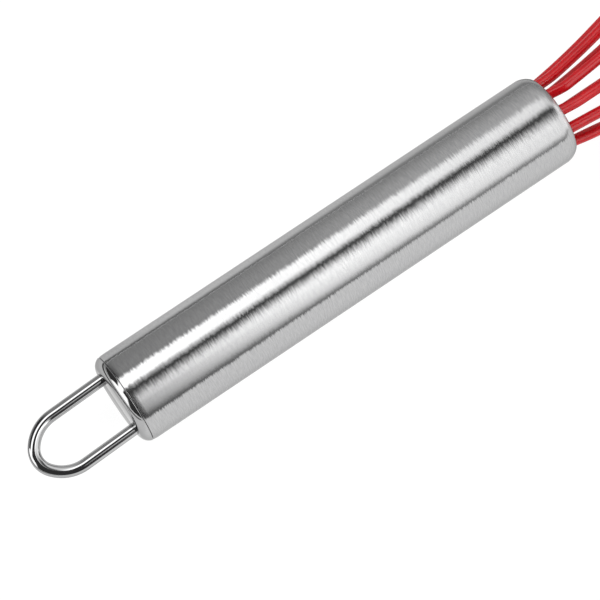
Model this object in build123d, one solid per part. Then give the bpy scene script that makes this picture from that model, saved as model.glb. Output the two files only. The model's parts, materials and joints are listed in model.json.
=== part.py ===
"""Balloon whisk: five springy loops, each a steel wire in a red silicone sleeve, held in the mouth of a
brushed steel tube handle, with a polished cap and a wire hanging loop at the other end.

Sizes are in millimetres. Every piece is made in the whisk's own frame: X runs along the handle, from
the hanging loop to the balloon's tip, with x = 0 at the handle's mouth, and the hanging loop lies in XY.
At the end the whole whisk is laid on the plane z = 0, resting on two strands of the balloon and on the
tube's back edge, with the centre of its footprint at the origin.
"""

import os
from math import atan2, cos, degrees, radians, sin, sqrt, tan

from build123d import *

# Driving dimensions
total_length = 310.0
handle_length = 135.0  # from the end cap's flat face to the mouth
handle_radius = 12.5
tube_wall = 0.8

# Handle tube: the mouth is spun inwards along an arc and ends in a rounded lip
shoulder_radius = 4.85
shoulder_turn = 42.0  # degrees
tube_edge_break = 0.15

# End cap
cap_height = 2.2  # how far it stands out of the tube
cap_corner_radius = 3.0
cap_face_radius = 9.5
cap_wall = 1.0
cap_skirt_length = 7.0
cap_skirt_clearance = 0.02

# Hanging loop
loop_wire_radius = 1.6
loop_half_width = 7.4  # from the handle's axis to each leg's centreline
loop_reach = 26.2  # from the cap's face to the outside of the bend
loop_shoulder_radius = 10.1
loop_shoulder_turn = 54.0  # degrees
loop_leg_inside = 7.0
loop_lean = 2.0  # degrees, in the loop's own plane, about the legs' ends
loop_hole_clearance = 0.08
weld_size = 1.3

# Balloon loops
loop_count = 5
core_radius = 0.75
sleeve_radius = 1.45
sleeve_bore_clearance = 0.02
mouth_ring_radius = 8.9  # strand centrelines at the mouth
belly_ring_radius = 29.0  # strand centrelines at the widest point
flare_start = -22.0
flare_radius = 200.0
flare_turn = 13.0  # degrees
belly_radius = 110.0
crossing_gap = 0.15  # between one sleeve and the next where they cross at the tip
sleeve_start = -24.0
tail_end = -36.0
hook_radius = 2.0
hook_length = 1.5

# Mouth plug and potting behind it
plug_recess = 2.2
plug_thickness = 9.0
plug_corner_radius = 3.2
plug_clearance = 0.05
potting_end = -42.0

step = 360 / (2 * loop_count)
bore_radius = handle_radius - tube_wall
lip_radius = tube_wall / 2
shoulder_middle = shoulder_radius - lip_radius
shoulder_x = -(shoulder_middle * sin(radians(shoulder_turn)) + lip_radius)
shoulder_centre_r = handle_radius - shoulder_radius
seam_x = -handle_length + cap_height


def polar(centre_x, centre_r, radius, angle):
    """The point at radius from a centre, at an angle from the outward radial direction towards +X."""
    return (centre_x + radius * sin(radians(angle)), centre_r + radius * cos(radians(angle)))


def turned(profile):
    """A solid of revolution about X from the closed outline of a half section in XY."""
    return revolve(make_face(profile), axis=Axis.X, revolution_arc=360)


def handle_tube():
    back = seam_x + 0.02
    outer_end = polar(shoulder_x, shoulder_centre_r, shoulder_radius, shoulder_turn)
    inner_end = polar(shoulder_x, shoulder_centre_r, shoulder_radius - tube_wall, shoulder_turn)
    lip_centre = polar(shoulder_x, shoulder_centre_r, shoulder_middle, shoulder_turn)
    lip_tip = polar(*lip_centre, lip_radius, shoulder_turn + 90)
    outline = [
        Line((back, bore_radius), (back, handle_radius - tube_edge_break)),
        Line((back, handle_radius - tube_edge_break), (back + tube_edge_break, handle_radius)),
        Line((back + tube_edge_break, handle_radius), (shoulder_x, handle_radius)),
        ThreePointArc(
            (shoulder_x, handle_radius),
            polar(shoulder_x, shoulder_centre_r, shoulder_radius, shoulder_turn / 2),
            outer_end,
        ),
        ThreePointArc(outer_end, lip_tip, inner_end),
        ThreePointArc(
            inner_end,
            polar(shoulder_x, shoulder_centre_r, shoulder_radius - tube_wall, shoulder_turn / 2),
            (shoulder_x, bore_radius),
        ),
        Line((shoulder_x, bore_radius), (back, bore_radius)),
    ]
    return turned(outline)


def loop_wire_path(inside):
    """The hanging loop's centreline, in XY, from the end of one leg round to the end of the other."""
    face = -handle_length
    bend_end_x = face - loop_reach + loop_wire_radius
    tip_turn = 90 - loop_shoulder_turn
    # The tip arc is centred on the axis and meets both shoulder arcs in tangency.
    tip_radius = (
        loop_half_width - loop_shoulder_radius * (1 - cos(radians(loop_shoulder_turn)))
    ) / sin(radians(tip_turn))
    bend_start_x = (
        bend_end_x
        + tip_radius * (1 - cos(radians(tip_turn)))
        + loop_shoulder_radius * sin(radians(loop_shoulder_turn))
    )
    leg_end_x = face + inside
    leg = Line((leg_end_x, loop_half_width), (bend_start_x, loop_half_width))
    first = JernArc(leg @ 1, leg % 1, loop_shoulder_radius, loop_shoulder_turn)
    tip = JernArc(first @ 1, first % 1, tip_radius, 2 * tip_turn)
    second = JernArc(tip @ 1, tip % 1, loop_shoulder_radius, loop_shoulder_turn)
    other_leg = Line(second @ 1, (leg_end_x, -loop_half_width))
    return Wire([*leg.edges(), *first.edges(), *tip.edges(), *second.edges(), *other_leg.edges()])


def swept(path, radius, bore=None):
    """A round wire along a path, or a tube of that bore."""
    start = Plane(origin=path @ 0, z_dir=path % 0)
    solid = sweep(start * Circle(radius), path=path)
    if bore:
        solid -= sweep(start * Circle(bore), path=path)
    return solid


def lean(shape):
    """The hanging loop leans slightly in its own plane, about a point between its legs' ends."""
    pivot = Axis((-handle_length + cap_wall + loop_leg_inside, 0, 0), (0, 0, 1))
    return shape.rotate(pivot, loop_lean)


def hanging_loop():
    return lean(swept(loop_wire_path(cap_wall + loop_leg_inside), loop_wire_radius))


def end_cap():
    face = -handle_length
    corner_x = face + cap_corner_radius
    rim_turn = degrees(atan2(cap_corner_radius - cap_height, 1))
    rim_reach = sqrt(cap_corner_radius**2 - (cap_corner_radius - cap_height) ** 2)
    rim = (seam_x, cap_face_radius + rim_reach)
    halfway = radians((90 - rim_turn) / 2)
    skirt_radius = bore_radius - cap_skirt_clearance
    inner_corner = cap_corner_radius - cap_wall
    skirt_end = seam_x + cap_skirt_length
    outline = [
        Line((face, 0), (face, cap_face_radius)),
        ThreePointArc(
            (face, cap_face_radius),
            (
                corner_x - cap_corner_radius * cos(halfway),
                cap_face_radius + cap_corner_radius * sin(halfway),
            ),
            rim,
        ),
        Polyline(
            rim,
            (seam_x, skirt_radius),
            (skirt_end, skirt_radius),
            (skirt_end, skirt_radius - cap_wall),
            (face + cap_wall + inner_corner, skirt_radius - cap_wall),
        ),
        ThreePointArc(
            (face + cap_wall + inner_corner, skirt_radius - cap_wall),
            (
                face + cap_wall + inner_corner * (1 - cos(radians(45))),
                skirt_radius - cap_wall - inner_corner * (1 - sin(radians(45))),
            ),
            (face + cap_wall, skirt_radius - cap_wall - inner_corner),
        ),
        Line((face + cap_wall, skirt_radius - cap_wall - inner_corner), (face + cap_wall, 0)),
        Line((face + cap_wall, 0), (face, 0)),
    ]
    holes = lean(swept(loop_wire_path(2 * cap_wall), loop_wire_radius + loop_hole_clearance))
    return turned(outline) - holes


def loop_welds():
    """A ring of weld round each leg, against the inside of the end cap."""
    base = -handle_length + cap_wall
    section = make_face(
        Polyline(
            (base, loop_wire_radius),
            (base, loop_wire_radius + weld_size),
            (base + weld_size, loop_wire_radius),
            close=True,
        )
    )
    ring = revolve(section, axis=Axis.X, revolution_arc=360)
    return [lean(Pos(0, side * loop_half_width, 0) * ring) for side in (1, -1)]


def balloon_path(tip_x, start_x, hook=False):
    """One balloon loop's centreline in XY: tail, flare, straight flank, belly and crown, then mirrored."""
    flare_r = mouth_ring_radius - flare_radius + sqrt(flare_radius**2 - flare_start**2)
    flank_start = (
        flare_start + flare_radius * sin(radians(flare_turn)),
        flare_r + flare_radius * (1 - cos(radians(flare_turn))),
    )
    flank_end_r = belly_ring_radius - belly_radius * (1 - cos(radians(flare_turn)))
    flank_run = (flank_end_r - flank_start[1]) / tan(radians(flare_turn))
    belly_x = flank_start[0] + flank_run + belly_radius * sin(radians(flare_turn))
    # The crown arc is centred on the axis, reaches tip_x and is tangent to the belly arc.
    side = belly_radius - belly_ring_radius
    ahead = tip_x - belly_x - belly_radius
    between = -(side**2 + ahead**2) / (2 * ahead)
    belly_turn = degrees(atan2(between + ahead, side))
    crown_radius = belly_radius - between

    if hook:
        bend = JernArc((start_x, flare_r - hook_radius), (0, 1), hook_radius, -90)
        pieces = [Line((start_x, flare_r - hook_radius - hook_length), bend @ 0), bend]
        tail = Line(bend @ 1, (flare_start, flare_r))
    else:
        pieces = []
        tail = Line((start_x, flare_r), (flare_start, flare_r))
    flare = JernArc(tail @ 1, tail % 1, flare_radius, flare_turn)
    flank = Line(flare @ 1, (flank_start[0] + flank_run, flank_end_r))
    belly = JernArc(flank @ 1, flank % 1, belly_radius, -(flare_turn + belly_turn))
    pieces += [tail, flare, flank, belly]
    crown = JernArc(belly @ 1, belly % 1, crown_radius, -(180 - 2 * belly_turn))
    edges = [edge for piece in pieces for edge in piece.edges()]
    mirrored = [edge for piece in reversed(pieces) for edge in mirror(piece, about=Plane.XZ).edges()]
    return Wire([*edges, *crown.edges(), *mirrored])


def balloon_loop(number, start_x, radius, bore=None, hook=False):
    """One balloon loop, turned to its own place; each next one reaches further, over the last."""
    outermost_tip = total_length - handle_length - loop_reach - sleeve_radius
    pitch = 2 * sleeve_radius + crossing_gap
    tip_x = outermost_tip - (loop_count - number) * pitch
    azimuth = step / 2 + (number - 1) * step
    return swept(balloon_path(tip_x, start_x, hook), radius, bore).rotate(Axis.X, azimuth)


def mouth_plug(strands):
    """A disc that sits behind the lip, with a hole for each strand."""
    front = -plug_recess
    back = front - plug_thickness
    outer = bore_radius - plug_clearance
    outline = [
        Line((back, 0), (back, outer)),
        Line((back, outer), (front - plug_corner_radius, outer)),
        JernArc((front - plug_corner_radius, outer), (1, 0), plug_corner_radius, -90),
        Line((front, outer - plug_corner_radius), (front, 0)),
        Line((front, 0), (back, 0)),
    ]
    return turned(outline) - strands


def resin_potting(strands, cores):
    """Resin cast behind the plug, round the tails of the wires."""
    back = potting_end
    front = -plug_recess - plug_thickness
    block = Pos((back + front) / 2, 0, 0) * Rot(0, 90, 0) * Cylinder(bore_radius, front - back)
    return block - strands - cores


def resting_pitch():
    """Degrees that the balloon end rises when the whisk lies on two strands and the edge of its cap."""
    flank_spread = cos(radians(step / 2))
    path = balloon_path(total_length - handle_length - loop_reach - sleeve_radius, sleeve_start)
    points = [path @ (n / 800) for n in range(401)]

    def gap(pitch):
        c, s = cos(radians(pitch)), sin(radians(pitch))
        balloon = max(p.Y * flank_spread * c - p.X * s for p in points) + sleeve_radius
        handle = handle_radius * c - seam_x * s
        return balloon - handle

    low, high = 0.0, 15.0
    for _ in range(40):
        middle = (low + high) / 2
        if gap(middle) > 0:
            low = middle
        else:
            high = middle
    return low


def make_pieces():
    numbers = range(1, loop_count + 1)
    cores = [balloon_loop(n, tail_end, core_radius, hook=True) for n in numbers]
    bore = core_radius + sleeve_bore_clearance
    sleeves = [balloon_loop(n, sleeve_start, sleeve_radius, bore) for n in numbers]
    strands = [balloon_loop(n, sleeve_start, sleeve_radius) for n in numbers]
    pieces = {
        "handle_tube": handle_tube(),
        "end_cap": end_cap(),
        "hanging_loop": hanging_loop(),
        "loop_welds": Compound(children=loop_welds()),
        "mouth_plug": mouth_plug(strands),
        "resin_potting": resin_potting(strands, cores),
    }
    for n in numbers:
        pieces[f"core_wire_{n}"] = cores[n - 1]
        pieces[f"silicone_sleeve_{n}"] = sleeves[n - 1]
    return pieces


pieces = make_pieces()
laid_down = Rot(0, -resting_pitch(), 0) * Rot(step / 2, 0, 0)
box = Compound([laid_down * piece for piece in pieces.values()]).bounding_box()
resting = Pos(-box.center().X, -box.center().Y, -box.min.Z) * laid_down
os.makedirs("parts", exist_ok=True)
for name, piece in pieces.items():
    export_step(resting * piece, f"parts/{name}.step")
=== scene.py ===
import json
from math import atan2, ceil, cos, degrees, pi, radians, sin, sqrt, tan

import bmesh
import bpy
from mathutils import Matrix, Vector


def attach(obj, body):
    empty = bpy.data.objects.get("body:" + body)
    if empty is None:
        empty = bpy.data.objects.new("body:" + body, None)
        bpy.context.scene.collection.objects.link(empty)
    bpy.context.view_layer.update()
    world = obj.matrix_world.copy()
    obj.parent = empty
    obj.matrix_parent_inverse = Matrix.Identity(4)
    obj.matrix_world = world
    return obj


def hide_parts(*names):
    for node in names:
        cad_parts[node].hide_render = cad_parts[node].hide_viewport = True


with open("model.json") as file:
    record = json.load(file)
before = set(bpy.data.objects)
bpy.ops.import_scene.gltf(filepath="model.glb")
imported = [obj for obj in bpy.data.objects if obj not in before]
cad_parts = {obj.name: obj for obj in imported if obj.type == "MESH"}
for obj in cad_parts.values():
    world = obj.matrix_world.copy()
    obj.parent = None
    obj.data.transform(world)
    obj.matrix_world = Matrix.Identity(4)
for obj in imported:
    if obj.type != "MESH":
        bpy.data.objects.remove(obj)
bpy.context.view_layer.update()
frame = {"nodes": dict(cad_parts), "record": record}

# The whisk's own frame: X along the handle towards the balloon, x = 0 at the mouth, hanging loop in XY.
# Sizes are in millimetres in that frame, and UNIT turns them into metres. Turns are in degrees.
UNIT = 0.001
mounts = {mount["name"]: mount for mount in frame["record"]["mounts"]}
grip = mounts["handle_grip"]

# The tube. Its mouth is spun inwards round a shoulder, and its other end is rolled in a little at the seam.
TUBE_R = grip["dims"]["r_mm"]
TUBE_WALL = 0.8
BORE_R = TUBE_R - TUBE_WALL
LIP_R = TUBE_WALL / 2
SHOULDER_R = 4.85
SHOULDER_TURN = 42.0
HANDLE_LENGTH = 135.0
ROLLED_R = 9.0
ROLLED_LENGTH = 1.5
EDGE_R = 0.2

# The cap. Its skirt goes into the tube, and two holes in its face take the legs of the hanging loop.
CAP_HEIGHT = 2.2
CAP_CORNER_R = 3.0
CAP_FACE_R = 9.5
CAP_WALL = 1.0
CAP_EDGE_R = 0.1
CAP_INSIDE_R = 1.2
CAP_SKIRT = 7.0
CAP_SKIRT_CLEARANCE = 0.02
CAP_SKIRT_R = BORE_R - CAP_SKIRT_CLEARANCE
CAP_HOLE_EDGE_R = 0.15
SEAM_X = -HANDLE_LENGTH + CAP_HEIGHT
SEAM_GAP = 0.08

# The hanging loop. It leans round the ends of its legs, inside the cap.
LOOP_WIRE_R = 1.6
LOOP_HALF_WIDTH = 7.4
LOOP_REACH = 26.2
LOOP_SHOULDER_R = 10.1
LOOP_SHOULDER_TURN = 54.0
LOOP_LEG_INSIDE = 7.0
LOOP_LEG_END_X = -HANDLE_LENGTH + CAP_WALL + LOOP_LEG_INSIDE
LOOP_LEAN = 2.0
LOOP_HOLE_CLEARANCE = 0.08
LOOP_HOLE_R = LOOP_WIRE_R + LOOP_HOLE_CLEARANCE
LOOP_PLAY = 0.17  # towards +Y, as it was welded

# The balloon. A strand starts straight, flares out, runs straight again and turns in round the belly.
LOOPS = 5
STRANDS = 2 * LOOPS
SLEEVE_R = 1.45
SLEEVE_BORE_R = 0.77
SLEEVE_START = -24.0
CORE_R = 0.75
CORE_START = -36.0
HOOK_R = 2.0
HOOK_LENGTH = 1.5
MOUTH_RING_R = 8.9
FLARE_START = -22.0
FLARE_R = 200.0
FLARE_TURN = 13.0
BELLY_RING_R = 29.0
BELLY_R = 110.0
CROSSING_GAP = 0.15

# How far each strand strays outwards and sideways outside the mouth, for both halves of each loop.
STRAYS = (
    ((-0.45, 0.55), (0.0, 0.0)),
    ((0.0, 1.4), (0.0, 0.0)),
    ((0.0, 0.6), (0.0, 0.5)),
    ((0.0, 0.1), (0.0, 1.05)),
    ((0.4, 0.2), (0.0, 0.0)),
)
STRAY_GROWS = (-2.5, 6.0)  # from and to these places along X
STRAY_FADES = (30.0, 90.0)

SHARP_ANGLE = 40.0  # edges that turn more than this are shaded sharp


def whisk_frame():
    """The placing of the whisk's own frame, from the record's mounts and the tube's mouth."""
    along = -Vector(grip["axis"]).normalized()
    up = Vector(mounts["hang_loop"]["axis"])
    up = (up - up.dot(along) * along).normalized()
    side = up.cross(along)
    middle = Vector(grip["pos_m"])
    mouth = max((v.co - middle).dot(along) for v in frame["nodes"]["handle_tube"].data.vertices)
    turn = Matrix((along, side, up)).transposed().to_4x4()
    return Matrix.Translation(middle + along * mouth) @ turn


WHISK = whisk_frame()


# ---------------------------------------------------------------------------------------- mesh helpers

def linear(value, start, end):
    """0 at start to 1 at end, and held beyond them."""
    return min(1.0, max(0.0, (value - start) / (end - start)))


def smooth(value, start, end):
    """0 at start to 1 at end, with a soft beginning and end."""
    share = linear(value, start, end)
    return share * share * (3 - 2 * share)


def band(value, start, full, fade, end):
    """A soft rise from start to full, times a soft fall from fade to end."""
    return smooth(value, start, full) * (1 - smooth(value, fade, end))


def blend(first, last, share):
    """From first to last as share goes from 0 to 1."""
    return first + (last - first) * share


def evenly(start, end, spacing):
    """Evenly spaced values from start to end."""
    return [start + spacing * n for n in range(round((end - start) / spacing) + 1)]


def arc(centre, radius, start, end, steps):
    """Points of a half section (x, r) on an arc, in degrees from outwards towards +X."""
    angles = [radians(start + (end - start) * n / steps) for n in range(steps + 1)]
    return [(centre[0] + radius * sin(a), centre[1] + radius * cos(a)) for a in angles]


def run(start, end, steps):
    """Points between two points of a half section, the ends left out."""
    return [
        (start[0] + (end[0] - start[0]) * n / steps, start[1] + (end[1] - start[1]) * n / steps)
        for n in range(1, steps)
    ]


def ring(mesh, x, radius, sides, centre=(0.0, 0.0)):
    """A circle of vertices round an axis parallel to X."""
    angles = [2 * pi * n / sides for n in range(sides)]
    points = [(x, centre[0] + radius * cos(a), centre[1] + radius * sin(a)) for a in angles]
    return [mesh.verts.new(Vector(point) * UNIT) for point in points]


def bridge(mesh, first, second):
    """Smooth quads between two rings."""
    for n, vertex in enumerate(first):
        face = mesh.faces.new((first[n - 1], vertex, second[n], second[n - 1]))
        face.smooth = True


def lathe(mesh, outline, sides, closed=False, centre=(0.0, 0.0)):
    """A surface of revolution, and its rings, from the points (x, r) of a half section."""
    rings = [ring(mesh, x, r, sides, centre) for x, r in outline]
    for first, second in zip(rings, rings[1:]):
        bridge(mesh, first, second)
    if closed:
        bridge(mesh, rings[-1], rings[0])
    return rings


def loop_edges(mesh, loop):
    """The edges round a closed ring of vertices, made where they are missing."""
    pairs = zip(loop, loop[1:] + loop[:1])
    return [mesh.edges.get(pair) or mesh.edges.new(pair) for pair in pairs]


def fill(mesh, loops):
    """A flat face, shaded flat, between an outer ring and the holes in it."""
    edges = [edge for loop in loops for edge in loop_edges(mesh, loop)]
    bmesh.ops.triangle_fill(mesh, use_beauty=True, edges=edges)


def piece(name, mesh, material, slot, *nodes):
    """A visible piece from a mesh in the whisk's own frame, in place of the CAD nodes."""
    bmesh.ops.recalc_face_normals(mesh, faces=mesh.faces)
    data = bpy.data.meshes.new(name)
    mesh.to_mesh(data)
    mesh.free()
    data.set_sharp_from_angle(angle=radians(SHARP_ANGLE))
    data.materials.append(material)
    made = bpy.data.objects.new(name, data)
    bpy.context.scene.collection.objects.link(made)
    made.matrix_world = WHISK
    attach(made, "root")
    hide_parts(*nodes)
    return made


# ------------------------------------------------------------------------------------------------ paths

def walk(start, heading, moves, spacing):
    """Points and headings of a plane path. A move is (length, None), or an arc (radius, turn in degrees)."""
    fewest_arc_steps = 6
    x, y = start
    points = [(x, y, heading)]
    for size, turn in moves:
        if turn is None:
            steps = max(1, ceil(size / spacing))
            for _ in range(steps):
                x += size / steps * cos(heading)
                y += size / steps * sin(heading)
                points.append((x, y, heading))
        else:
            swing = radians(turn)
            steps = max(fewest_arc_steps, ceil(size * abs(swing) / spacing))
            side = 1 if swing > 0 else -1
            for _ in range(steps):
                centre_x = x - side * size * sin(heading)
                centre_y = y + side * size * cos(heading)
                heading += swing / steps
                x = centre_x + side * size * sin(heading)
                y = centre_y - side * size * cos(heading)
                points.append((x, y, heading))
    return points


def sweep(mesh, path, radius, sides, place, aside=None):
    """The rings of a round tube along a plane path, turned into the whisk's frame by place.

    aside gives how far the tube leaves the path at a point, in the path's plane along Y and out of it.
    """
    rings = []
    for x, y, heading in path:
        centre = Vector((x, y, 0)) + Vector((0, *aside(x, y)) if aside else (0, 0, 0))
        across = Vector((-sin(heading), cos(heading), 0))
        corners = []
        for n in range(sides):
            angle = 2 * pi * n / sides
            corner = centre + radius * (cos(angle) * across + sin(angle) * Vector((0, 0, 1)))
            corners.append(mesh.verts.new((place @ corner) * UNIT))
        rings.append(corners)
    for first, second in zip(rings, rings[1:]):
        bridge(mesh, first, second)
    return rings


# -------------------------------------------------------------------------------------------- materials

def shader(name, **values):
    """A material with a Principled shader. The values are the names of its sockets, in lower case."""
    material = bpy.data.materials.new(name)
    material.use_nodes = True
    bsdf = material.node_tree.nodes["Principled BSDF"]
    for key, value in values.items():
        bsdf.inputs[key.replace("_", " ").title().replace("Ior", "IOR")].default_value = value
    return material, material.node_tree, bsdf


def node(tree, kind, inputs=None, **settings):
    """A shader node, with its settings, and its inputs as values or as sockets to link."""
    made = tree.nodes.new("ShaderNode" + kind)
    for key, value in settings.items():
        setattr(made, key, value)
    for key, value in (inputs or {}).items():
        if isinstance(value, bpy.types.NodeSocket):
            tree.links.new(value, made.inputs[key])
        else:
            made.inputs[key].default_value = value
    return made


def streaks(tree, size, detail=2.0, seed=0.0):
    """Noise stretched to grains of the given size in millimetres, in the object's own frame."""
    place = node(tree, "TexCoord").outputs["Object"]
    scale = tuple(1 / (s * UNIT) for s in size)
    grain = node(tree, "Mapping", {"Vector": place, "Scale": scale, "Location": (seed, seed, seed)})
    inputs = {"Vector": grain.outputs[0], "Scale": 1.0, "Detail": detail}
    return node(tree, "TexNoise", inputs).outputs["Fac"]


def remap(tree, noise, low, high):
    """Noise, which lies mostly between 0.3 and 0.7, mapped to low to high."""
    inputs = {"Value": noise, "From Min": 0.3, "From Max": 0.7, "To Min": low, "To Max": high}
    return node(tree, "MapRange", inputs).outputs["Result"]


def tone_mix(tree, factor, dark, light):
    """A colour between a dark tone and a light one."""
    mix = node(tree, "Mix", {"Factor": factor}, data_type="RGBA")
    mix.inputs["A"].default_value = (*dark, 1)
    mix.inputs["B"].default_value = (*light, 1)
    return mix.outputs["Result"]


def tipped_normal(tree, scratches, slope):
    """The surface's normal, tipped round the tube by up to slope, one way or the other in each scratch."""
    place = node(tree, "TexCoord").outputs["Object"]
    outward = node(tree, "VectorMath", {0: place, 1: (0, 1, 1)}, operation="MULTIPLY").outputs[0]
    around = node(tree, "VectorMath", {0: (1, 0, 0), 1: outward}, operation="CROSS_PRODUCT").outputs[0]
    to_world = {"vector_type": "VECTOR", "convert_from": "OBJECT", "convert_to": "WORLD"}
    around = node(tree, "VectorTransform", {"Vector": around}, **to_world).outputs[0]
    around = node(tree, "VectorMath", {0: around}, operation="NORMALIZE").outputs[0]
    tip = remap(tree, scratches, -slope, slope)
    push = node(tree, "VectorMath", {0: around, "Scale": tip}, operation="SCALE").outputs[0]
    normal = node(tree, "NewGeometry").outputs["Normal"]
    normal = node(tree, "VectorMath", {0: normal, 1: push}, operation="ADD").outputs[0]
    return node(tree, "VectorMath", {0: normal}, operation="NORMALIZE").outputs[0]


def grain_bump(tree, bsdf, grain, strength, depth):
    """Relief from a grain, whose depth is in millimetres."""
    bump = node(tree, "Bump", {"Height": grain, "Strength": strength, "Distance": depth * UNIT})
    tree.links.new(bump.outputs[0], bsdf.inputs["Normal"])


def brushed_steel():
    """Steel brushed round the tube, in scratches about 2 mm long."""
    material, tree, bsdf = shader(
        "brushed_steel",
        metallic=1.0,
        roughness=0.18,
        anisotropic=0.95,
        anisotropic_rotation=0.25,
        specular_tint=(0.62, 0.62, 0.62, 1),
    )
    scratches = streaks(tree, (0.3, 2.2, 2.2), detail=1.5)
    color = tone_mix(tree, remap(tree, scratches, 0, 1), (0.46, 0.46, 0.465), (0.52, 0.52, 0.52))
    tree.links.new(color, bsdf.inputs["Base Color"])
    tree.links.new(tipped_normal(tree, scratches, slope=0.024), bsdf.inputs["Normal"])
    tangent = node(tree, "Tangent", direction_type="RADIAL", axis="X").outputs[0]
    tree.links.new(tangent, bsdf.inputs["Tangent"])
    return material


def polished_steel(name, grain_size):
    """Polished steel, with a faint grain of the given size."""
    material, tree, bsdf = shader(name, metallic=1.0, specular_tint=(0.6, 0.6, 0.6, 1))
    grain = streaks(tree, grain_size, detail=3.0)
    color = tone_mix(tree, remap(tree, grain, 0, 1), (0.49, 0.49, 0.495), (0.52, 0.52, 0.52))
    tree.links.new(color, bsdf.inputs["Base Color"])
    tree.links.new(remap(tree, grain, 0.05, 0.09), bsdf.inputs["Roughness"])
    grain_bump(tree, bsdf, grain, strength=0.15, depth=0.01)
    return material


def red_silicone():
    """Red silicone, a little blotchy, with fine lines along it."""
    material, tree, bsdf = shader("red_silicone", ior=1.42)
    blotches = streaks(tree, (6.0, 2.0, 2.0), detail=3.0)
    color = tone_mix(tree, remap(tree, blotches, 0, 1), (0.56, 0.005, 0.010), (0.68, 0.008, 0.014))
    tree.links.new(color, bsdf.inputs["Base Color"])
    lines = streaks(tree, (4.0, 0.12, 0.12), seed=3.0)
    tree.links.new(remap(tree, lines, 0.1, 0.18), bsdf.inputs["Roughness"])
    grain_bump(tree, bsdf, lines, strength=0.4, depth=0.02)
    return material


def plain_material(name, color, spread, roughness, metallic=0.0, grain_size=0.3):
    """A cast, moulded or drawn surface with a fine grain. Its light tone is spread times the dark one."""
    material, tree, bsdf = shader(name, metallic=metallic)
    grain = streaks(tree, (grain_size, grain_size, grain_size), detail=3.0)
    light = tuple(min(1, c * spread) for c in color)
    tree.links.new(tone_mix(tree, remap(tree, grain, 0, 1), color, light), bsdf.inputs["Base Color"])
    tree.links.new(remap(tree, grain, roughness, roughness * 1.3), bsdf.inputs["Roughness"])
    grain_bump(tree, bsdf, grain, strength=0.3, depth=grain_size * 0.05)
    return material


# ------------------------------------------------------------------------------------------------ pieces

def handle_tube(material):
    """The tube: a closed half section, from its rolled end along the outside to the lip and back inside."""
    lip_turn_r = SHOULDER_R - LIP_R
    shoulder = (-(lip_turn_r * sin(radians(SHOULDER_TURN)) + LIP_R), TUBE_R - SHOULDER_R)
    lip = arc(shoulder, lip_turn_r, SHOULDER_TURN, SHOULDER_TURN, steps=1)[0]
    back = SEAM_X + SEAM_GAP
    rolled_turn = degrees(atan2(ROLLED_LENGTH, ROLLED_R))
    rolled_middle = (back + ROLLED_LENGTH + EDGE_R, TUBE_R - ROLLED_R)
    rolled = arc(rolled_middle, ROLLED_R, -rolled_turn, 0, steps=12)
    rolled_x, rolled_r = rolled[0]
    edge = (rolled_x + EDGE_R * sin(radians(rolled_turn)), rolled_r - EDGE_R * cos(radians(rolled_turn)))
    back_inside = (edge[0] - EDGE_R, BORE_R)
    outline = [back_inside] + arc(edge, EDGE_R, -90, -rolled_turn, steps=6)[:-1] + rolled
    outline += run(rolled[-1], (shoulder[0], TUBE_R), steps=40)
    outline += arc(shoulder, SHOULDER_R, 0, SHOULDER_TURN, steps=16)
    outline += arc(lip, LIP_R, SHOULDER_TURN, SHOULDER_TURN + 180, steps=12)[1:-1]
    outline += arc(shoulder, SHOULDER_R - TUBE_WALL, SHOULDER_TURN, 0, steps=12)
    outline += run((shoulder[0], BORE_R), back_inside, steps=20)
    mesh = bmesh.new()
    lathe(mesh, outline, sides=192, closed=True)
    return piece("brushed_tube", mesh, material, "brushed_steel", "handle_tube")


def leg_y(side):
    """Where a leg of the leaning hanging loop crosses the cap's face."""
    lean = radians(LOOP_LEAN)
    end_x = LOOP_LEG_END_X - side * LOOP_HALF_WIDTH * sin(lean)
    end_y = side * LOOP_HALF_WIDTH * cos(lean)
    return end_y - (end_x + HANDLE_LENGTH) * tan(lean) + LOOP_PLAY


def end_cap(material):
    """The cap: a lathed cup from its face round to its inside, and two holes with rounded edges."""
    face_x = -HANDLE_LENGTH
    corner = (face_x + CAP_CORNER_R, CAP_FACE_R)
    short = CAP_CORNER_R - CAP_HEIGHT
    corner_turn = degrees(atan2(sqrt(CAP_CORNER_R**2 - short**2), short))
    outline = arc(corner, CAP_CORNER_R, -90, -90 + corner_turn, steps=24)
    edge = (outline[-1][0] - CAP_EDGE_R, outline[-1][1] - CAP_EDGE_R)
    edge_start = -20  # about the direction in which the corner ends
    outline = outline[:-1] + arc(edge, CAP_EDGE_R, edge_start, 90, steps=5)
    outline += [(SEAM_X, CAP_SKIRT_R + CAP_EDGE_R), (SEAM_X + CAP_EDGE_R, CAP_SKIRT_R)]
    inside_r = CAP_SKIRT_R - CAP_WALL
    outline += [(SEAM_X + CAP_SKIRT, CAP_SKIRT_R), (SEAM_X + CAP_SKIRT, inside_r)]
    inside_corner = (face_x + CAP_WALL + CAP_INSIDE_R, inside_r - CAP_INSIDE_R)
    outline += arc(inside_corner, CAP_INSIDE_R, 0, -90, steps=10)
    mesh = bmesh.new()
    rings = lathe(mesh, outline, sides=160)
    front = [rings[0]]
    inside = [rings[-1]]
    hole_edge = (face_x + CAP_HOLE_EDGE_R, LOOP_HOLE_R + CAP_HOLE_EDGE_R)
    hole = arc(hole_edge, CAP_HOLE_EDGE_R, -90, -180, steps=4) + [(face_x + CAP_WALL, LOOP_HOLE_R)]
    for side in (1, -1):
        walls = lathe(mesh, hole, sides=48, centre=(leg_y(side), 0.0))
        front.append(walls[0])
        inside.append(walls[-1])
    fill(mesh, front)
    fill(mesh, inside)
    return piece("polished_cap", mesh, material, "polished_steel", "end_cap")


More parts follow.
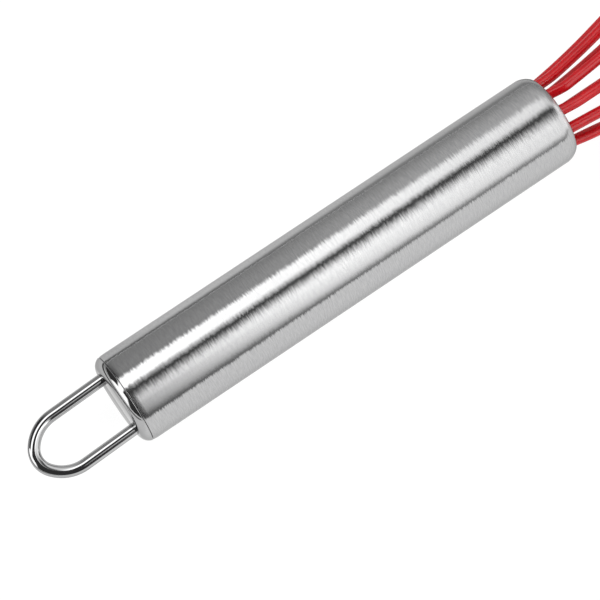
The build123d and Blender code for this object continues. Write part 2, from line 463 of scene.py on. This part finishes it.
def hanging_loop(material):
    """The bent wire: a leg, a bend, the round end, a bend and the other leg."""
    shoulder_turn = radians(LOOP_SHOULDER_TURN)
    end_turn = 90 - LOOP_SHOULDER_TURN
    drop = LOOP_SHOULDER_R * (1 - cos(shoulder_turn))
    end_r = (LOOP_HALF_WIDTH - drop) / sin(radians(end_turn))
    end_depth = end_r * (1 - cos(radians(end_turn)))
    bend_start = -HANDLE_LENGTH - LOOP_REACH + LOOP_WIRE_R + end_depth + LOOP_SHOULDER_R * sin(shoulder_turn)
    leg = (LOOP_LEG_END_X - bend_start, None)
    bend = (LOOP_SHOULDER_R, LOOP_SHOULDER_TURN)
    moves = [leg, bend, (end_r, 2 * end_turn), bend, leg]
    path = walk((LOOP_LEG_END_X, LOOP_HALF_WIDTH), pi, moves, spacing=0.35)
    lean = (
        Matrix.Translation((LOOP_LEG_END_X, LOOP_PLAY, 0))
        @ Matrix.Rotation(radians(LOOP_LEAN), 4, "Z")
        @ Matrix.Translation((-LOOP_LEG_END_X, 0, 0))
    )
    mesh = bmesh.new()
    rings = sweep(mesh, path, LOOP_WIRE_R, sides=40, place=lean)
    mesh.faces.new(rings[0])
    mesh.faces.new(rings[-1])
    return piece("polished_wire_loop", mesh, material, "polished_steel", "hanging_loop")


def balloon_path(number, reach, start_x, hooked=False):
    """A balloon loop's centreline, from tail to tail. The last loop reaches furthest, to reach."""
    tip_x = reach - SLEEVE_R - (LOOPS - number) * (2 * SLEEVE_R + CROSSING_GAP)
    start_r = MOUTH_RING_R - FLARE_R + sqrt(FLARE_R**2 - FLARE_START**2)
    turn = radians(FLARE_TURN)
    flare_end = (FLARE_START + FLARE_R * sin(turn), start_r + FLARE_R * (1 - cos(turn)))
    flank_end_r = BELLY_RING_R - BELLY_R * (1 - cos(turn))
    flank = (flank_end_r - flare_end[1]) / sin(turn)
    belly_x = flare_end[0] + flank * cos(turn) + BELLY_R * sin(turn)
    side = BELLY_R - BELLY_RING_R
    ahead = tip_x - belly_x - BELLY_R
    between = -(side**2 + ahead**2) / (2 * ahead)
    belly_turn = degrees(atan2(between + ahead, side))
    if hooked:
        start = (start_x, start_r - HOOK_R - HOOK_LENGTH)
        heading = pi / 2
        tail = [(HOOK_LENGTH, None), (HOOK_R, -90), (FLARE_START - start_x - HOOK_R, None)]
    else:
        start = (start_x, start_r)
        heading = 0.0
        tail = [(FLARE_START - start_x, None)]
    half = tail + [(FLARE_R, FLARE_TURN), (flank, None), (BELLY_R, -(FLARE_TURN + belly_turn))]
    crown = (BELLY_R - between, -(180 - 2 * belly_turn))
    return walk(start, heading, half + [crown] + half[::-1], spacing=0.9)


def sweep_strand(mesh, number, path, radius, sides):
    """The rings of a balloon loop's wire or sleeve, turned to its own place, with its strands' strays."""
    azimuth = (2 * number - 1) * pi / STRANDS
    first, second = STRAYS[number - 1]

    def stray(x, y):
        side = 1 if y > 0 else -1
        outwards, sideways = first if y > 0 else second
        share = band(x, *STRAY_GROWS, *STRAY_FADES)
        return side * outwards * share, sideways * share

    return sweep(mesh, path, radius, sides, Matrix.Rotation(azimuth, 4, "X"), stray)


def silicone_sleeve(number, material, reach):
    """The red tube over a balloon loop's wire, open at both ends."""
    path = balloon_path(number, reach, SLEEVE_START)
    mesh = bmesh.new()
    outer = sweep_strand(mesh, number, path, SLEEVE_R, sides=28)
    bore = sweep_strand(mesh, number, path, SLEEVE_BORE_R, sides=28)
    bridge(mesh, outer[0], bore[0])
    bridge(mesh, outer[-1], bore[-1])
    return piece(f"red_strand_loop_{number}", mesh, material, "red_silicone", f"silicone_sleeve_{number}")


def core_wire(number, material, reach):
    """A balloon loop's wire, with hooked tails for the resin to hold."""
    path = balloon_path(number, reach, CORE_START, hooked=True)
    mesh = bmesh.new()
    rings = sweep_strand(mesh, number, path, CORE_R, sides=16)
    mesh.faces.new(rings[0])
    mesh.faces.new(rings[-1])
    return piece(f"spring_wire_loop_{number}", mesh, material, "spring_steel", f"core_wire_{number}")


# ---------------------------------------------------------------------------------------- stage and light

# The light is set so that the steel shows the photograph's bands of light. Angles are in degrees from
# straight up, round an axis along the handle, and positive behind it. Places are in metres. A softbox
# brightens softly from one edge to full, and dims softly from full to its other edge.

def key_glow(angle, x):
    """The main softbox, above and behind the handle. It's brightest and sharpest at the hanging end."""
    far = linear(x, -0.05, 0.2)
    front_edge = blend(-9.5, -6, smooth(x, -0.05, 0.08))
    front_edge = blend(1, front_edge, smooth(x, -0.085, -0.05))
    front_full = blend(front_edge + 6.5, 15, far)
    back_full = blend(25, 18, far)
    back_edge = blend(36, 44, far)
    return blend(2.4, 1.12, far) * band(angle, front_edge, front_full, back_full, back_edge)


def fill_glow(angle, x):
    """The wide softbox in front of the handle. It ends above the cap."""
    far = linear(x, -0.05, 0.15)
    top_edge = blend(9, 5, far)
    top_full = blend(30, 41, smooth(x, -0.02, 0.06))
    low_full = blend(20, 66, smooth(x, -0.05, 0.1))
    low_edge = blend(58, blend(84, 90, far), smooth(x, -0.08, -0.03))
    strength = blend(5.2, 1.38, far**0.65) * smooth(x, -0.085, 0.0)
    return strength * band(-angle, top_edge, top_full, low_full, low_edge)


def strip_glow(angle, x):
    """A narrow strip light in front, beyond the hanging end. It draws a fine line along the loop's wire."""
    strength = 0.8
    return strength * band(-angle, 24, 30, 40, 46) * band(x, -0.15, -0.1, -0.08, -0.055)


def room_glow(angle, x):
    """The room behind the handle, paler towards the main softbox."""
    far = linear(x, -0.05, 0.15)
    low = blend(0.3, 0.36, far)
    high = blend(0.33, 0.72, far)
    strength = blend(high, low, smooth(angle, 40, 95))
    return strength * smooth(angle, 15, 42) * smooth(x, -0.4, -0.1)


def tent_glow(angle, x):
    """All that glows round the handle, with a dim glow in the gaps."""
    gap = 0.05
    table_edge = 0.9 * smooth(-angle, 85, 87)
    softboxes = key_glow(angle, x) + fill_glow(angle, x) + strip_glow(angle, x)
    return gap + table_edge + softboxes + room_glow(angle, x)


def near_end_glow(y):
    """The end of the tent beyond the hanging loop: a softbox from the table up."""
    gap = 0.05
    strength = 2.0
    return gap + strength * band(y, -0.45, -0.3, 0.85, 1.0)


def far_end_glow(y):
    """The end of the tent beyond the balloon: bright in front, and darker behind."""
    front = 1.7
    behind = 0.5
    return blend(front, behind, smooth(y, 0.0, 0.4))


def painted_table_reflection(x, y):
    """How bright the table is in reflections: a painted reflection of the table, with painted shade.

    It's darker behind the handle and under the balloon in painted shade, and there's a painted dark stripe
    beyond the hanging loop.
    """
    # Two distances along the table, both slanting: behind the handle, and beyond the hanging loop.
    behind = 0.3 * x + 0.912 * y
    beyond = -0.93 * x + 0.37 * y
    # Painted shade: the table's reflection dims behind the handle, and a little beyond the hanging loop.
    level = blend(1.05, 0.38, smooth(behind, 0.014, 0.144)) * blend(1, 0.85, smooth(beyond, 0.115, 0.125))
    # Painted shadow under the balloon, seen only in reflections, that darkens the strands' edges.
    balloon_shadow_level = 0.25
    painted_balloon_shadow = smooth(x, 0.012, 0.024) * band(y, -0.02, -0.004, 0.03, 0.045)
    # A painted dark stripe in the table's reflection beyond the hanging loop.
    painted_stripe_level = 0.06
    painted_dark_stripe = band(beyond, 0.163, 0.172, 0.2, 0.22)
    return blend(blend(level, balloon_shadow_level, painted_balloon_shadow), painted_stripe_level, painted_dark_stripe)


def glowing(name, rows, glows):
    """A stage surface of quads through rows of points, that glows by the strength at each point."""
    width = len(rows[0])
    points = [point for row in rows for point in row]
    faces = [
        (r * width + c, r * width + c + 1, (r + 1) * width + c + 1, (r + 1) * width + c)
        for r in range(len(rows) - 1)
        for c in range(width - 1)
    ]
    data = bpy.data.meshes.new(name)
    data.from_pydata(points, [], faces)
    strengths = data.attributes.new("glow", "FLOAT", "POINT").data
    strengths.foreach_set("value", [glow for row in glows for glow in row])
    material = bpy.data.materials.new(name)
    material.use_nodes = True
    tree = material.node_tree
    tree.nodes.clear()
    glow = node(tree, "Attribute", attribute_name="glow").outputs["Fac"]
    emission = node(tree, "Emission", {"Color": (1, 1, 1, 1), "Strength": glow}).outputs[0]
    output = node(tree, "OutputMaterial")
    tree.links.new(emission, output.inputs["Surface"])
    data.materials.append(material)
    made = bpy.data.objects.new(name, data)
    bpy.context.scene.collection.objects.link(made)
    made.visible_camera = False
    return made


def light_tent():
    """Softboxes as one glowing half cylinder round the handle's axis, and its two ends.

    The stations along it are closest beside the handle, where the softboxes change most.
    """
    radius = 0.9
    height = WHISK.translation.z
    angles = evenly(-88, 90, 2)
    stations = evenly(-1.5, -0.2, 0.05) + evenly(-0.15, 0.0, 0.0125) + evenly(0.05, 1.25, 0.05)
    arch = [(radius * sin(radians(a)), height + radius * cos(radians(a))) for a in angles]
    rows = [[(x, y, z) for y, z in arch] for x in stations]
    glows = [[tent_glow(a, x) for a in angles] for x in stations]
    glowing("light_tent", rows, glows)

    across = evenly(-0.9, 0.9, 0.05)
    heights = evenly(0.001, 0.901, 0.05)
    ends = [("near_end", stations[0], near_end_glow), ("far_end", stations[-1], far_end_glow)]
    for name, x, end_glow in ends:
        rows = [[(x, y, z) for y in across] for z in heights]
        glows = [[end_glow(y) for y in across] for z in heights]
        glowing(name, rows, glows)


def table_reflection():
    """A glowing sheet on the table that only the steel's reflections see, a painted reflection of the table
    with painted shade, finely divided round the whisk.
    """
    height = 0.0002
    places = [-1.5, -0.9, -0.5, -0.3, *evenly(-0.26, 0.26, 0.004), 0.4, 0.8, 1.25]
    rows = [[(x, y, height) for y in places] for x in places]
    glows = [[painted_table_reflection(x, y) for y in places] for x in places]
    sheet = glowing("table_reflection", rows, glows)
    sheet.visible_diffuse = False
    sheet.visible_shadow = False


def studio_floor():
    """A plain white table, bright enough to show as white."""
    half = 6.0
    corners = [(-half, -half, 0), (half, -half, 0), (half, half, 0), (-half, half, 0)]
    data = bpy.data.meshes.new("floor")
    data.from_pydata(corners, [], [(0, 1, 2, 3)])
    floor = bpy.data.objects.new("floor", data)
    bpy.context.scene.collection.objects.link(floor)
    material = shader(
        "white_table",
        base_color=(0.15, 0.15, 0.15, 1),
        roughness=0.9,
        emission_color=(1, 1, 1, 1),
        emission_strength=0.92,
    )[0]
    data.materials.append(material)


def studio_world():
    """A white backdrop near the horizon, darker overhead."""
    world = bpy.data.worlds.new("studio")
    bpy.context.scene.world = world
    world.use_nodes = True
    tree = world.node_tree
    direction = node(tree, "SeparateXYZ", {0: node(tree, "TexCoord").outputs["Generated"]})
    heights = {"Value": direction.outputs["Z"], "From Min": 0.1, "From Max": 0.5}
    inputs = {**heights, "To Min": 0.97, "To Max": 0.3}
    glow = node(tree, "MapRange", inputs, interpolation_type="SMOOTHSTEP").outputs["Result"]
    tree.links.new(glow, tree.nodes["Background"].inputs["Strength"])
    tree.nodes["Background"].inputs["Color"].default_value = (1, 1, 1, 1)


def camera():
    """A long lens above the handle, looking down, with most of the balloon out of the picture."""
    azimuth, elevation, tilt = radians(-38.89), radians(68.26), radians(4.35)
    distance = 0.66177
    focal_share = 4.3207  # focal length over picture width
    aim_offset = Vector((0.07144, 0.07646))  # where the handle's middle lies in the picture, from its centre
    right = Vector((cos(azimuth), sin(azimuth), 0))
    back = Vector((sin(azimuth) * cos(elevation), -cos(azimuth) * cos(elevation), sin(elevation)))
    up = back.cross(right)
    right, up = cos(tilt) * right + sin(tilt) * up, -sin(tilt) * right + cos(tilt) * up
    middle_x = -66.0
    handle_middle = WHISK @ Vector((middle_x * UNIT, 0, 0))
    shift = (right * aim_offset.x + up * aim_offset.y) * distance / focal_share
    data = bpy.data.cameras.new("camera")
    data.sensor_width = 36.0
    data.lens = data.sensor_width * focal_share
    data.clip_start = 0.01
    eye = bpy.data.objects.new("camera", data)
    bpy.context.scene.collection.objects.link(eye)
    turn = Matrix((right, up, back)).transposed().to_4x4()
    eye.matrix_world = Matrix.Translation(handle_middle + back * distance - shift) @ turn
    bpy.context.scene.camera = eye


# ------------------------------------------------------------------------------------------------ build

handle_tube(brushed_steel())
end_cap(polished_steel("polished_steel", (0.5, 0.5, 0.5)))
hanging_loop(polished_steel("polished_wire", (3.0, 0.1, 0.1)))
silicone = red_silicone()
last_sleeve = frame["nodes"][f"silicone_sleeve_{LOOPS}"].data.vertices
balloon_reach = max((WHISK.inverted() @ v.co).x for v in last_sleeve) / UNIT
wire = plain_material("spring_wire", (0.4, 0.4, 0.42), 1.2, 0.3, metallic=1.0, grain_size=0.15)
for number in range(1, LOOPS + 1):
    silicone_sleeve(number, silicone, balloon_reach)
    core_wire(number, wire, balloon_reach)

hidden_materials = {
    "mouth_plug": plain_material("plug_plastic", (0.03, 0.03, 0.03), 1.6, 0.4),
    "resin_potting": plain_material("cast_resin", (0.55, 0.42, 0.2), 1.3, 0.25, grain_size=0.8),
    "loop_welds": plain_material("weld", (0.25, 0.24, 0.23), 1.5, 0.5, metallic=1.0),
}
for name, material in hidden_materials.items():
    kept = frame["nodes"][name].data
    kept.materials.clear()
    kept.materials.append(material)

studio_floor()
studio_world()
light_tent()
table_reflection()
camera()
bpy.context.scene.view_settings.view_transform = "Standard"
